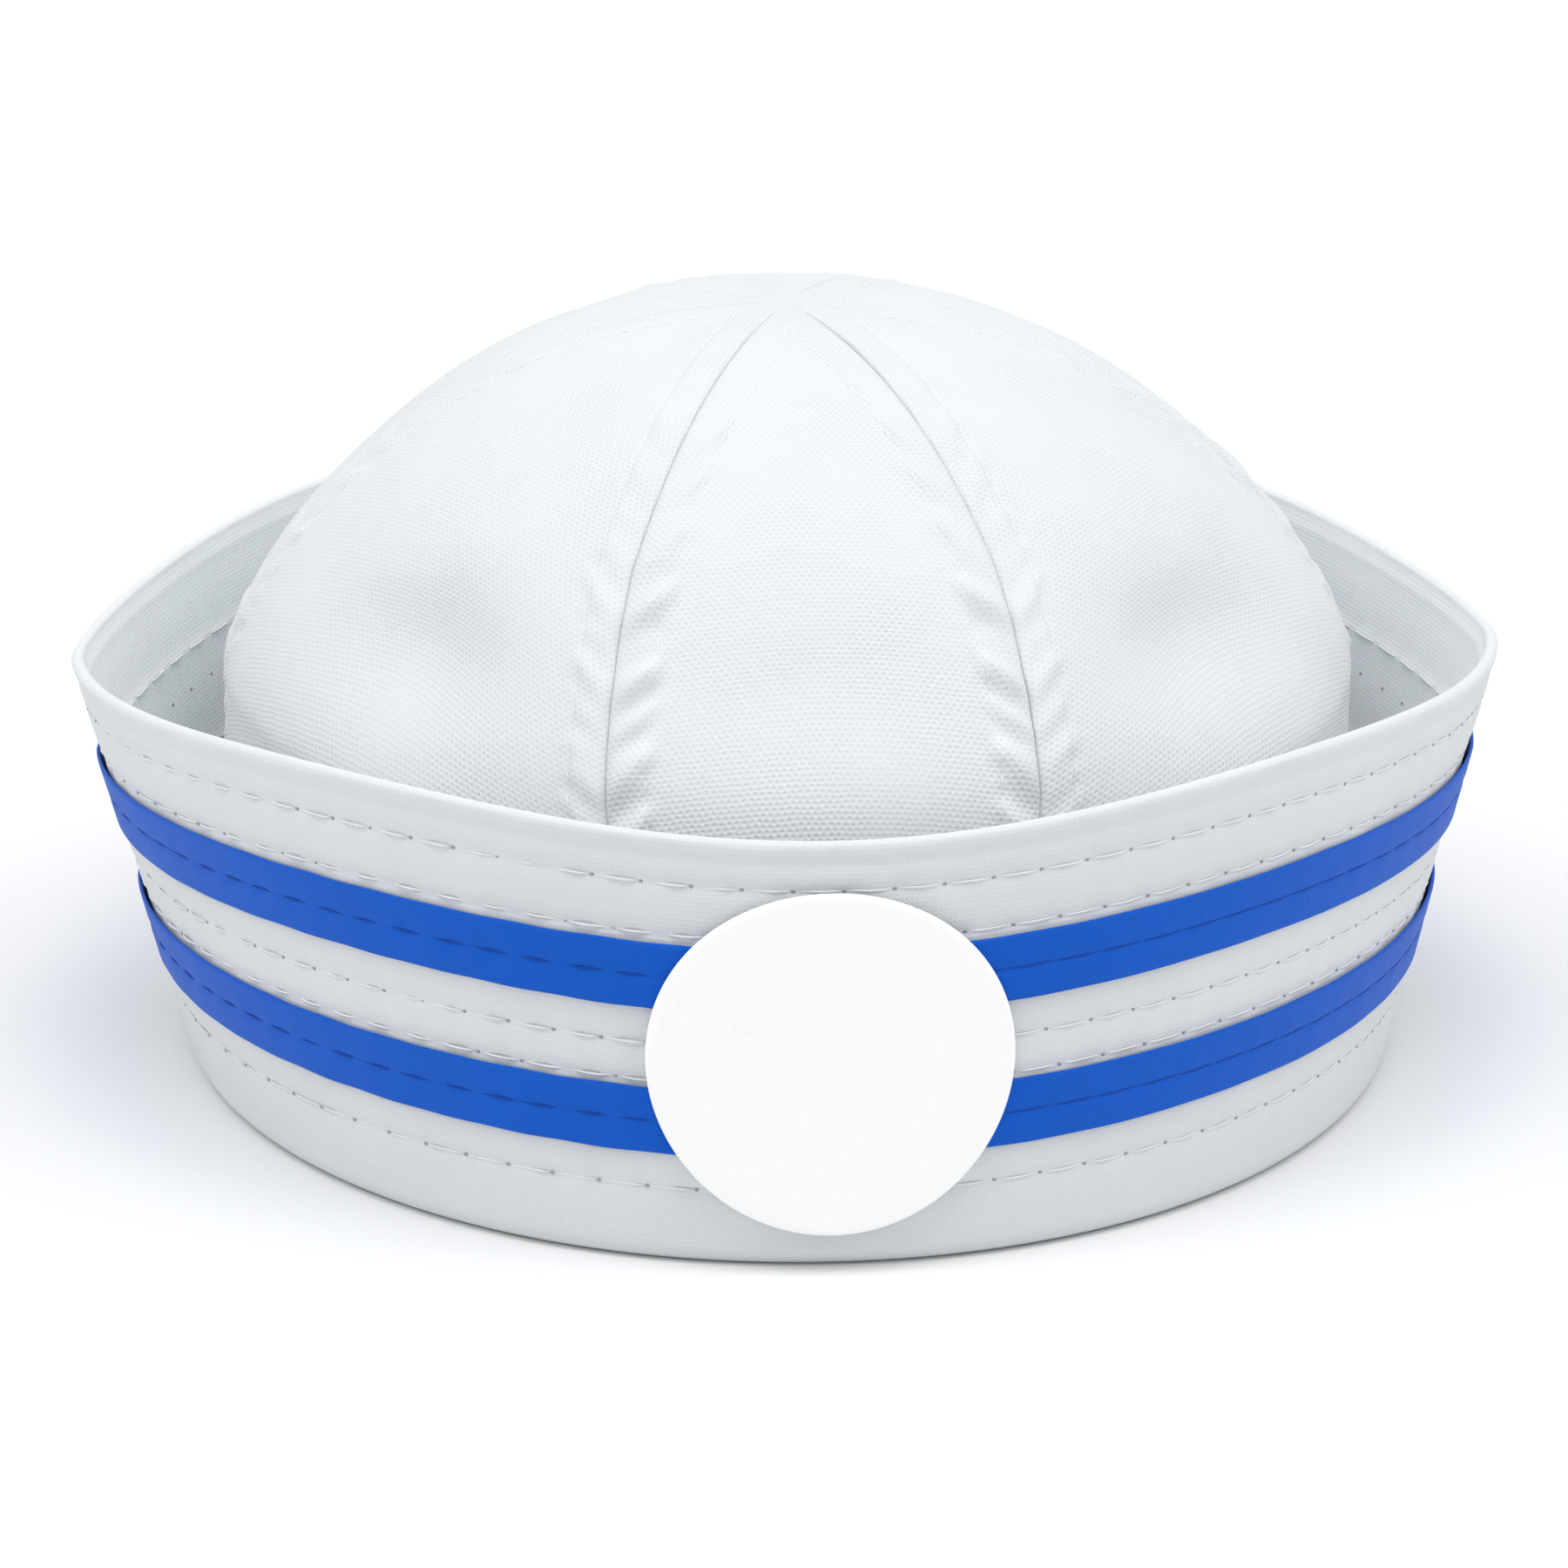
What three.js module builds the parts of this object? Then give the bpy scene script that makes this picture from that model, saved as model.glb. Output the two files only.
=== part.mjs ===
// Sailor hat: a domed cotton crown of six gores inside a tall turned-up brim,
// with two ribbons round the brim and a blank round patch at its front.
// Millimetres, +Z up. The front faces -Y and the origin is the middle of the foot that the hat rests on.
// Azimuth 0 is the front and azimuth 90 degrees is +X.

import * as THREE from "three";
import { mergeVertices } from "three/addons/utils/BufferGeometryUtils.js";

const degree = Math.PI / 180;
const fullTurn = 2 * Math.PI;

// Crown sizes: the outside of the straight lower wall and the dome above it
const crownWidth = 178;
const crownDepth = 193.8;
const crownWallTop = 60.6;
const domeHeight = 57.1;
const crownThickness = 1.5;
const hemHeight = 8;

// How the dome's section turns: 1 and 1 would be a plain quarter ellipse
const domeSideRoundness = 0.88;
const domeTopRoundness = 1.52;

// Brim sizes: the clear channel between crown and brim at the bottom, and the wall above it
const channelAtSides = 5.3;
const channelAtFront = 8.5;
const brimHeight = 65.8;
const brimThickness = 2.4;
const foldRadius = 2.9;
const innerFoldRadius = 1.4;

// How far the rim stands outside the fold
const flareAtSides = 6.2;
const flareAtFront = -2.4;
const flareAtRear = 4;

// Each side of the rim is drawn out to a soft point
const cornerReach = 10.2;
const cornerHalfAngle = 29.5 * degree;
const cornerSharpness = 1.44;

// Trim sizes
const ribbonWidth = 10.1;
const ribbonThickness = 0.5;
const patchDiameter = 53;
const patchThickness = 1.5;
const patchEdgeRounding = 0.5;

// Clearances: between two gores at their seam, and between pieces sewn face to face
const seamGap = 0.3;
const seatGap = 0.3;

// Rises and dips of the rim on its way round, as shares of the brim's height
const rimWaves = [
  { wavesAround: 2, heightShare: 0.023 },
  { wavesAround: 4, heightShare: -0.033 },
];

// Seams of the right half, from the front. The left half mirrors them.
const crownSeams = {
  front: { azimuthAtBrim: 20.4 * degree, azimuthAtTop: 24.2 * degree },
  side: { azimuthAtBrim: 90 * degree, azimuthAtTop: 90 * degree },
  rear: { azimuthAtBrim: 159 * degree, azimuthAtTop: 156 * degree },
};

// Soft hollows in the dome: heights are shares of the dome's height, depths of the crown's width
const crownDents = [
  { azimuth: 48, halfAngle: 17, heightShare: 0.46, halfHeightShare: 0.2, depthShare: 0.016 },
  { azimuth: 0, halfAngle: 15, heightShare: 0.4, halfHeightShare: 0.16, depthShare: 0.007 },
  { azimuth: 125, halfAngle: 18, heightShare: 0.5, halfHeightShare: 0.2, depthShare: 0.012 },
];

// Where things lie on the brim's wall: 0 is the fold and 1 is the rim
const upperRibbonShare = 0.671;
const lowerRibbonShare = 0.312;
const patchShare = 0.475;

// How finely curves are divided
const brimColumns = 72;
const brimWallRows = 5;
const rimEdgeSteps = 4;
const foldSteps = 3;
const gorePieceAngle = 5.7 * degree;
const crownWallRows = 2;
const domeRows = 11;
const patchSides = 32;

// Shares of the dome's rise: where its last full row is, and where a gore's taper to its tip is measured
const lastDomeRowShare = 0.93;
const taperShare = 0.9;
// Share of the dome's rise over which a seam turns from its azimuth at the brim to the one at the top
const seamTurnShare = 0.5;
// Corners closer than this are one corner
const mergeDistance = 0.0001;
// Halvings of a search range that leave far less than a hair's width
const searchPasses = 40;

// Sizes that follow from the ones above
const crownHalfWidth = crownWidth / 2;
const crownHalfDepth = crownDepth / 2;
const foldHalfWidth = crownHalfWidth + channelAtSides + brimThickness;
const foldHalfDepth = crownHalfDepth + channelAtFront + brimThickness;
const ribbonLift = seatGap;
const patchLift = ribbonLift + ribbonThickness + seatGap;

function between(low, high, share) {
  return low + (high - low) * share;
}

function steps(count) {
  return Array.from({ length: count + 1 }, (unused, index) => index / count);
}

// A point of a level ellipse, and the level direction that faces out of it there
function ellipsePoint(azimuth, halfWidth, halfDepth, height) {
  return new THREE.Vector3(halfWidth * Math.sin(azimuth), -halfDepth * Math.cos(azimuth), height);
}

function ellipseOutward(azimuth, halfWidth, halfDepth) {
  return new THREE.Vector3(Math.sin(azimuth) / halfWidth, -Math.cos(azimuth) / halfDepth, 0).normalize();
}

// The direction that faces out of a surface given by an azimuth and a rise
function surfaceOutward(surface, azimuth, rise) {
  const turnStep = 0.4 * degree;
  const riseStep = 0.002;
  const across = surface(azimuth + turnStep, rise).sub(surface(azimuth - turnStep, rise));
  const upward = surface(azimuth, rise + riseStep).sub(surface(azimuth, rise - riseStep));
  return across.cross(upward).normalize();
}

// Angle from one azimuth to another, the short way round
function turnBetween(first, second) {
  const turn = Math.abs(first - second) % fullTurn;
  return Math.min(turn, fullTurn - turn);
}

// Depth of all the hollows together at one place on the dome
function dentDepth(azimuth, domeShare) {
  let depth = 0;
  for (const dent of crownDents) {
    const sides = dent.azimuth === 0 ? [0] : [-dent.azimuth, dent.azimuth];
    for (const side of sides) {
      const across = turnBetween(azimuth, side * degree) / (dent.halfAngle * degree);
      const upward = (domeShare - dent.heightShare) / dent.halfHeightShare;
      depth += dent.depthShare * crownWidth * Math.exp(-across * across - upward * upward);
    }
  }
  return depth;
}

// Outside of the crown. Rise runs from 0 at the top of the hem through 1, where the dome starts, to 2 at the peak.
const crownBottom = hemHeight + seatGap;

function crownHeightAt(rise) {
  if (rise <= 1) {
    return between(crownBottom, crownWallTop, rise);
  }
  return crownWallTop + domeHeight * Math.pow(Math.sin((rise - 1) * Math.PI / 2), domeTopRoundness);
}

function crownReachAt(rise) {
  return rise <= 1 ? 1 : Math.pow(Math.max(Math.cos((rise - 1) * Math.PI / 2), 0), domeSideRoundness);
}

function riseAtReach(reach) {
  return 1 + Math.acos(Math.pow(reach, 1 / domeSideRoundness)) / (Math.PI / 2);
}

function crownOutside(azimuth, rise) {
  const reach = crownReachAt(rise);
  const height = crownHeightAt(rise);
  const point = ellipsePoint(azimuth, crownHalfWidth * reach, crownHalfDepth * reach, height);
  const depth = dentDepth(azimuth, (height - crownWallTop) / domeHeight);
  return point.addScaledVector(ellipseOutward(azimuth, crownHalfWidth, crownHalfDepth), -depth);
}

function crownInside(azimuth, rise) {
  const outward = surfaceOutward(crownOutside, azimuth, rise);
  return crownOutside(azimuth, rise).addScaledVector(outward, -crownThickness);
}

// Outside of the brim's wall: share 0 is level with the fold's middle and share 1 is the rim
function rimPoint(azimuth) {
  const frontness = (1 + Math.cos(azimuth)) / 2;
  const offSide = Math.min(turnBetween(azimuth, fullTurn / 4), turnBetween(azimuth, -fullTurn / 4));
  const corner = cornerReach * Math.exp(-Math.pow(offSide / cornerHalfAngle, cornerSharpness));
  const halfWidth = foldHalfWidth + flareAtSides + corner;
  const halfDepth = foldHalfDepth + between(flareAtRear, flareAtFront, frontness);
  let height = brimHeight - brimThickness / 2;
  for (const wave of rimWaves) {
    height += wave.heightShare * brimHeight * Math.cos(wave.wavesAround * azimuth);
  }
  return ellipsePoint(azimuth, halfWidth, halfDepth, height);
}

function foldPoint(azimuth) {
  return ellipsePoint(azimuth, foldHalfWidth, foldHalfDepth, foldRadius);
}

function brimOutside(azimuth, share) {
  return foldPoint(azimuth).lerp(rimPoint(azimuth), share);
}

function brimSurface(azimuth, share, lift) {
  const outward = surfaceOutward(brimOutside, azimuth, share);
  return brimOutside(azimuth, share).addScaledVector(outward, lift);
}

function brimWallLength(azimuth) {
  return rimPoint(azimuth).distanceTo(foldPoint(azimuth));
}

// A closed solid from section loops with equally many points, joined in turn.
// A ring joins its last loop to its first. Otherwise each end is closed by a strip between the loop's two halves.
function sweptSolid(loops, isRing) {
  const size = loops[0].length;
  const positions = loops.flat().flatMap((point) => point.toArray());
  const triangles = [];
  const addQuad = (a, b, c, d) => triangles.push([a, b, c], [a, c, d]);
  const spans = isRing ? loops.length : loops.length - 1;
  for (let span = 0; span < spans; span += 1) {
    const here = span * size;
    const next = ((span + 1) % loops.length) * size;
    for (let index = 0; index < size; index += 1) {
      const after = (index + 1) % size;
      addQuad(here + index, next + index, next + after, here + after);
    }
  }
  if (!isRing) {
    const last = (loops.length - 1) * size;
    for (let index = 0; index < size / 2 - 1; index += 1) {
      const mirrored = size - 1 - index;
      addQuad(index, index + 1, mirrored - 1, mirrored);
      addQuad(last + mirrored, last + mirrored - 1, last + index + 1, last + index);
    }
  }
  return closedGeometry(positions, triangles);
}

// Merges equal corners, drops triangles that have shrunk to a line and turns all faces outwards
function closedGeometry(positions, triangles) {
  const raw = new THREE.BufferGeometry();
  raw.setAttribute("position", new THREE.Float32BufferAttribute(positions, 3));
  raw.setIndex(triangles.flat());
  const merged = mergeVertices(raw, mergeDistance);
  const index = merged.getIndex().array;
  const kept = [];
  let volume = 0;
  for (let start = 0; start < index.length; start += 3) {
    const corners = [index[start], index[start + 1], index[start + 2]];
    if (new Set(corners).size === 3) {
      const [a, b, c] = corners.map((corner) => {
        return new THREE.Vector3().fromBufferAttribute(merged.getAttribute("position"), corner);
      });
      volume += a.dot(b.cross(c));
      kept.push(corners);
    }
  }
  merged.setIndex(kept.flatMap((corners) => (volume < 0 ? corners.reverse() : corners)));
  merged.computeVertexNormals();
  return merged;
}

// One gore of the crown, between two seams given with the sign of their side
function goreGeometry(startSeam, startSign, endSeam, endSign) {
  const seamAzimuth = (seam, sign, rise) => {
    const share = Math.min(Math.max(rise - 1, 0) / seamTurnShare, 1);
    return sign * between(seam.azimuthAtBrim, seam.azimuthAtTop, share);
  };
  const meanHalf = (crownHalfWidth + crownHalfDepth) / 2;
  const edges = (rise) => {
    const start = seamAzimuth(startSeam, startSign, rise);
    let end = seamAzimuth(endSeam, endSign, rise);
    end += end < start ? fullTurn : 0;
    const halfAngle = (end - start) / 2;
    const gapAngle = Math.asin(Math.min(seamGap / 2 / (meanHalf * crownReachAt(rise)), 1));
    return { middle: (start + end) / 2, halfAngle: Math.max(halfAngle - gapAngle, 0) };
  };
  const halfAngleAtTop = edges(1 + taperShare).halfAngle;
  const tipRise = riseAtReach(seamGap / 2 / Math.sin(halfAngleAtTop) / meanHalf);
  const wallRises = steps(crownWallRows).slice(0, -1);
  const domeRises = steps(domeRows).map((share) => 1 + share * lastDomeRowShare);
  const rises = [...wallRises, ...domeRises, tipRise];
  const columns = Math.ceil(2 * edges(1).halfAngle / gorePieceAngle);
  const loops = steps(columns).map((share) => {
    const azimuthAt = (rise) => {
      const { middle, halfAngle } = edges(rise);
      return middle + halfAngle * (2 * share - 1) * (rise === tipRise ? 0 : 1);
    };
    const outside = rises.map((rise) => crownOutside(azimuthAt(rise), rise));
    const inside = rises.map((rise) => crownInside(azimuthAt(rise), rise));
    return [...outside, ...inside.reverse()];
  });
  return sweptSolid(loops, false);
}

// Turned-up brim: an inner hem under the crown's edge, a flat foot, the fold, the tall wall and its rounded rim
function brimSection(azimuth) {
  const outward = ellipseOutward(azimuth, foldHalfWidth, foldHalfDepth);
  const hemOutward = ellipseOutward(azimuth, crownHalfWidth, crownHalfDepth);
  const hemPoint = (inset, height) => {
    return ellipsePoint(azimuth, crownHalfWidth, crownHalfDepth, height).addScaledVector(hemOutward, -inset);
  };
  const nearFold = (inset, height) => foldPoint(azimuth).setZ(height).addScaledVector(outward, -inset);
  const toRim = rimPoint(azimuth).sub(foldPoint(azimuth));
  const lean = Math.atan2(toRim.dot(outward), toRim.z);
  const fold = steps(foldSteps).map((share) => {
    const angle = between(-Math.PI / 2, -lean, share);
    return nearFold(foldRadius * (1 - Math.cos(angle)), foldRadius * (1 + Math.sin(angle)));
  });
  const wallShares = steps(brimWallRows).slice(1);
  const outerWall = wallShares.map((share) => brimOutside(azimuth, share));
  const upward = toRim.normalize();
  const rimOutward = surfaceOutward(brimOutside, azimuth, 1);
  const rimMiddle = brimSurface(azimuth, 1, -brimThickness / 2);
  const rimEdge = steps(rimEdgeSteps).slice(1, -1).map((share) => {
    const turned = rimMiddle.clone().addScaledVector(rimOutward, brimThickness / 2 * Math.cos(Math.PI * share));
    return turned.addScaledVector(upward, brimThickness / 2 * Math.sin(Math.PI * share));
  });
  const innerWall = steps(brimWallRows).reverse().map((share) => brimSurface(azimuth, share, -brimThickness));
  const channelFloor = [nearFold(foldRadius, brimThickness), hemPoint(0, brimThickness)];
  const innerFoldCut = innerFoldRadius / 3;
  const hem = [
    hemPoint(0, hemHeight),
    hemPoint(crownThickness, hemHeight),
    hemPoint(crownThickness, innerFoldRadius),
    hemPoint(crownThickness - innerFoldCut, innerFoldCut),
    hemPoint(crownThickness - innerFoldRadius, 0),
  ];
  return [...fold, ...outerWall, ...rimEdge, ...innerWall, ...channelFloor, ...hem];
}

function ringColumns(section) {
  return steps(brimColumns).slice(0, -1).map((share) => section(share * fullTurn));
}

function brimGeometry() {
  return sweptSolid(ringColumns(brimSection), true);
}

// A ribbon sewn round the brim's wall, centred at one share of the wall
function ribbonGeometry(wallShare) {
  return sweptSolid(ringColumns((azimuth) => {
    const halfShare = ribbonWidth / 2 / brimWallLength(azimuth);
    return [
      brimSurface(azimuth, wallShare - halfShare, ribbonLift),
      brimSurface(azimuth, wallShare - halfShare, ribbonLift + ribbonThickness),
      brimSurface(azimuth, wallShare + halfShare, ribbonLift + ribbonThickness),
      brimSurface(azimuth, wallShare + halfShare, ribbonLift),
    ];
  }), true);
}

// Azimuth in the front half where the brim's wall lies a given distance to the right of the middle
function azimuthAcross(across, wallShare) {
  let low = -Math.PI / 2;
  let high = Math.PI / 2;
  for (let pass = 0; pass < searchPasses; pass += 1) {
    const middle = (low + high) / 2;
    if (brimOutside(middle, wallShare).x < across) {
      low = middle;
    } else {
      high = middle;
    }
  }
  return (low + high) / 2;
}

// Round patch that lies over both ribbons and follows the brim's curve, with a rounded edge
function patchGeometry() {
  const radius = patchDiameter / 2;
  const innerRing = radius / 2;
  const profile = [
    { reach: 0, lift: 0 },
    { reach: innerRing, lift: 0 },
    { reach: radius - patchEdgeRounding, lift: 0 },
    { reach: radius, lift: patchEdgeRounding },
    { reach: radius, lift: patchThickness - patchEdgeRounding },
    { reach: radius - patchEdgeRounding, lift: patchThickness },
    { reach: innerRing, lift: patchThickness },
    { reach: 0, lift: patchThickness },
  ];
  const loops = steps(patchSides).slice(0, -1).map((turn) => profile.map(({ reach, lift }) => {
    const across = reach * Math.cos(turn * fullTurn);
    const wallShare = patchShare + reach * Math.sin(turn * fullTurn) / brimWallLength(0);
    return brimSurface(azimuthAcross(across, wallShare), wallShare, patchLift + lift);
  }));
  return sweptSolid(loops, true);
}

// Materials: white cotton, blue ribbon and the plain white patch
function clothMaterial() {
  return new THREE.MeshStandardMaterial({ color: 0xe4e8ea, roughness: 0.95, metalness: 0 });
}

function ribbonMaterial() {
  return new THREE.MeshStandardMaterial({ color: 0x1f5fd0, roughness: 0.6, metalness: 0 });
}

function patchMaterial() {
  return new THREE.MeshStandardMaterial({ color: 0xfcfcfc, roughness: 0.7, metalness: 0 });
}

const hat = new THREE.Group();

function addPiece(name, geometry, material) {
  const mesh = new THREE.Mesh(geometry, material);
  mesh.name = name;
  hat.add(mesh);
}

const { front, side, rear } = crownSeams;
addPiece("gore_front", goreGeometry(front, -1, front, 1), clothMaterial());
addPiece("gore_front_right", goreGeometry(front, 1, side, 1), clothMaterial());
addPiece("gore_back_right", goreGeometry(side, 1, rear, 1), clothMaterial());
addPiece("gore_back", goreGeometry(rear, 1, rear, -1), clothMaterial());
addPiece("gore_back_left", goreGeometry(rear, -1, side, -1), clothMaterial());
addPiece("gore_front_left", goreGeometry(side, -1, front, -1), clothMaterial());
addPiece("brim", brimGeometry(), clothMaterial());
addPiece("ribbon_upper", ribbonGeometry(upperRibbonShare), ribbonMaterial());
addPiece("ribbon_lower", ribbonGeometry(lowerRibbonShare), ribbonMaterial());
addPiece("patch", patchGeometry(), patchMaterial());

export default hat;
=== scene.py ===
# Sailor hat: fine cloth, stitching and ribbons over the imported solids, on a plain pale floor.
# Shapes are worked out in millimetres and turned into metres where meshes are made.
# Azimuth 0 is the hat's front (-Y) and azimuth 90 degrees is +X.

import math

import bmesh
import bpy
import numpy as np
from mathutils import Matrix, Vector


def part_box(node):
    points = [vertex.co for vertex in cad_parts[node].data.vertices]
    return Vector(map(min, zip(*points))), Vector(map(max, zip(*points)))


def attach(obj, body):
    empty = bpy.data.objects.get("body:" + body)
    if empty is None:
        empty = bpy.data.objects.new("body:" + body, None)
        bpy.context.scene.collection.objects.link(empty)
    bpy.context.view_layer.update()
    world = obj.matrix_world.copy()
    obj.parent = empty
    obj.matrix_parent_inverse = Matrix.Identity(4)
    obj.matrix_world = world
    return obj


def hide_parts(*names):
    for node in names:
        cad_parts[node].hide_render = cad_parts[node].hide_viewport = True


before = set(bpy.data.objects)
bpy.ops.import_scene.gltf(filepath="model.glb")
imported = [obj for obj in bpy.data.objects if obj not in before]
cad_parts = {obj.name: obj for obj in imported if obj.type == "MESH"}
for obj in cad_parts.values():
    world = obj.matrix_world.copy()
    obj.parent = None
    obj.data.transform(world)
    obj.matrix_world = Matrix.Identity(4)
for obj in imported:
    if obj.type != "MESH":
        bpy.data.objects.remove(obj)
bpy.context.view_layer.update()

METRES = 0.001
DEGREE = math.pi / 180


def box_mm(node):
    """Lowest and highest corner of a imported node, in millimetres."""
    low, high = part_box(node)
    return np.array(low) / METRES, np.array(high) / METRES


# Crown sizes
crown_half_width = box_mm("gore_front_right")[1][0]
crown_half_depth = -box_mm("gore_front")[0][1]
crown_peak = box_mm("gore_front")[1][2]
crown_bottom = box_mm("gore_front")[0][2]
dome_start = 60.6
dome_height = crown_peak - dome_start
dome_side_roundness = 0.88
dome_top_roundness = 1.52
cloth_thickness = 1.3

# Brim sizes
brim_thickness = 2.2
fold_radius = 2.9
hem_height = crown_bottom - 0.3
fold_half_width = crown_half_width + 7.7
fold_half_depth = crown_half_depth + 10.9
corner_reach = 10.2
corner_half_angle = 29.5 * DEGREE
corner_sharpness = 1.44
rim_half_width = box_mm("brim")[1][0] - corner_reach
rim_front = fold_half_depth - 2.4
rim_rear = fold_half_depth + 4.0
rim_height = 65.8
rim_waves = ((2, 0.023), (4, -0.033))
wall_height = 62.0

# Trim sizes
ribbon_width = 10.1
ribbon_thickness = 0.5
ribbon_lift = 0.22
upper_ribbon_share = 0.671
lower_ribbon_share = 0.312
patch_radius = 26.5
patch_share = 0.475
patch_lift = 1.0
patch_thickness = 1.5

# Stitching sizes
brim_stitch_pitch = 7.4
crown_stitch_pitch = 3.4
topstitch_offset = 6.2
brim_stitch_shares = (0.897, 0.772, 0.499, 0.406, 0.142)
inner_stitch_shares = (0.772, 0.499, 0.406, 0.142)
rim_roll_width = 2.3
needle_hole_radius = 0.26

# Threads: bare length between stitches, width, stand above the cloth and dip at the ends, in mm
brim_thread = (1.1, 0.36, 0.22, 0.25)
crown_thread = (0.8, 0.32, 0.04, 0.25)
ribbon_thread = (0.3, 0.26, 0.03, 0.1)

# Relief of the crown's cloth: depth or height, then half width or wavelength, in mm
seam_groove = (0.42, 0.6)
allowance_edge = (0.20, 0.35)
topstitch_groove = (0.32, 0.55)
fine_wrinkles = (0.16, 4.6)
crown_stitch_pull = (0.07, 2.2)
crown_waves = (0.35, 42)
side_pucker_strength = 0.28
pucker_slant = 0.75
wrinkle_slant = 0.5

# Relief of the brim's cloth: depth or height, then half width or wavelength, in mm
brim_broad_waves = (0.16, 26)
brim_short_waves = (0.10, 9)
brim_stitch_pull = (0.10, 2.2)
brim_stitch_groove = (0.34, 0.75)
brim_quilting = (0.10, 2.6)
ribbon_bed = (0.30, 5.4)
rim_roll_groove = (0.26, 0.8)
inner_relief_share = 0.6

# Relief of the ribbons: depth or height, then half width or wavelength, in mm
ribbon_edge_waves = (0.12, 14)
ribbon_waves = (0.07, 12)
ribbon_pull = (0.06, 2.4)
ribbon_groove = (0.20, 0.6)

# Mean radii in mm, which turn an azimuth into a length along the cloth
crown_mean_radius = 90
brim_mean_radius = 103

# Rises: where the brim hides the crown, where a seam ends its turn, the topstitching and the dome's last row
hidden_rise = 0.8
seam_turn_share = 0.5
topstitch_rises = (0.75, 1.93)
last_rise = 1.9996
peak_fade = 0.12

# How finely the cloth is divided: counts, and spacings in mm
seam_steps = (0, 0.35, 0.75, 1.2, 1.9, 2.8, 3.7, 4.6, 5.3, 5.8, 6.2, 6.6, 7.1, 7.8)
seam_inset = 0.06
gore_row_spacing = 0.9
gore_column_spacing = 0.95
hidden_rows = 12
brim_columns = 600
outer_row_spacing = 1.1
inner_row_spacing = 2.2
stitch_row_steps = (-1.3, -0.6, 0, 0.6, 1.3)
rim_roll_steps = (-1.2, -0.6, 0, 0.6, 1.2)
least_row_gap = 0.6
fold_steps = 8
rim_steps = 12
ribbon_columns = 560
ribbon_rows = 27
ring_samples = 1500
topstitch_samples = 260
patch_columns = 128
patch_face_rows = 14
patch_edge_steps = 11
patch_edge_margin = 2
weld_distance = 0.01

# Lights: name, azimuth about the hat, tilt from straight above and spread in degrees, strength
softboxes = (
    ("overhead", 0, 5, 40, 1.3),
    ("left softbox", -80, 44, 45, 0.85),
    ("right softbox", 80, 44, 45, 0.85),
)
sky_color = (0.97, 0.985, 1.0)
sky_strength = 0.55
floor_color = (0.82, 0.82, 0.82)
floor_reach = 60000.0

# Seams: azimuth where the crown leaves the brim and near its top, in degrees
seams = {
    "front": (20.4, 24.2),
    "side": (90.0, 90.0),
    "rear": (159.0, 156.0),
}

# Soft hollows in the dome: azimuth, half angle, height share, half height share, depth in mm
dents = (
    (50, 15, 0.30, 0.18, 6.4),
    (-50, 15, 0.30, 0.18, 6.4),
    (0, 15, 0.36, 0.16, 2.0),
    (125, 18, 0.50, 0.20, 2.1),
    (-125, 18, 0.50, 0.20, 2.1),
)

# Puckers beside a seam: height of the crest in mm, its rise in mm, half width in mm
puckers = (
    (108.0, 0.45, 1.6),
    (102.5, 0.50, 1.5),
    (96.5, 0.90, 1.7),
    (89.3, 2.00, 2.0),
    (80.6, 2.00, 2.0),
    (75.4, 0.90, 1.3),
    (69.5, 1.90, 2.1),
    (62.0, 1.10, 1.9),
)


def ellipse(azimuth, half_width, half_depth, height):
    x = half_width * np.sin(azimuth)
    y = -half_depth * np.cos(azimuth)
    return np.stack(np.broadcast_arrays(x, y, height), axis=-1)


def ellipse_outward(azimuth, half_width, half_depth):
    flat = ellipse(azimuth, 1 / half_width, 1 / half_depth, 0.0)
    return flat / np.linalg.norm(flat, axis=-1, keepdims=True)


def outward(surface, azimuth, rise):
    """The direction that faces out of a surface given by azimuth and rise."""
    across = surface(azimuth + 0.004, rise) - surface(azimuth - 0.004, rise)
    upward = surface(azimuth, rise + 0.002) - surface(azimuth, rise - 0.002)
    normal = np.cross(across, upward)
    return normal / np.linalg.norm(normal, axis=-1, keepdims=True)


def soft_waves(across, along, seed, length, count=5):
    """Smooth random relief from a few slanted sine waves of about one wavelength."""
    random = np.random.default_rng(seed)
    total = 0.0
    for _ in range(count):
        angle = random.uniform(0, 2 * math.pi)
        wave = length * random.uniform(0.7, 1.5)
        phase = random.uniform(0, 2 * math.pi)
        path = across * math.cos(angle) + along * math.sin(angle)
        total = total + np.sin(2 * math.pi * path / wave + phase)
    return total / count


def bump(distance, half_width):
    return np.exp(-np.square(distance / half_width))


def hollow(distance, size):
    depth, half_width = size
    return depth * bump(distance, half_width)


# Crown. Rise runs from 0 at the hem through 1, where the dome starts, to 2 at the peak.

def crown_reach(rise):
    turn = np.clip(rise - 1, 0, 1) * math.pi / 2
    return np.maximum(np.cos(turn), 0) ** dome_side_roundness


def crown_height(rise):
    turn = np.clip(rise - 1, 0, 1) * math.pi / 2
    wall = crown_bottom + (dome_start - crown_bottom) * np.clip(rise, 0, 1)
    return wall + dome_height * np.sin(turn) ** dome_top_roundness


def crown_surface(azimuth, rise):
    height = crown_height(rise)
    reach = crown_reach(rise)
    share = (height - dome_start) / dome_height
    depth = 0.0
    for angle, half_angle, height_share, half_height, deep in dents:
        off = (azimuth / DEGREE - angle + 180) % 360 - 180
        depth = depth + deep * bump(off, half_angle) * bump(share - height_share, half_height)
    point = ellipse(azimuth, crown_half_width * reach, crown_half_depth * reach, height)
    away = ellipse_outward(azimuth, crown_half_width, crown_half_depth)
    return point - away * np.asarray(depth)[..., None]


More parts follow.
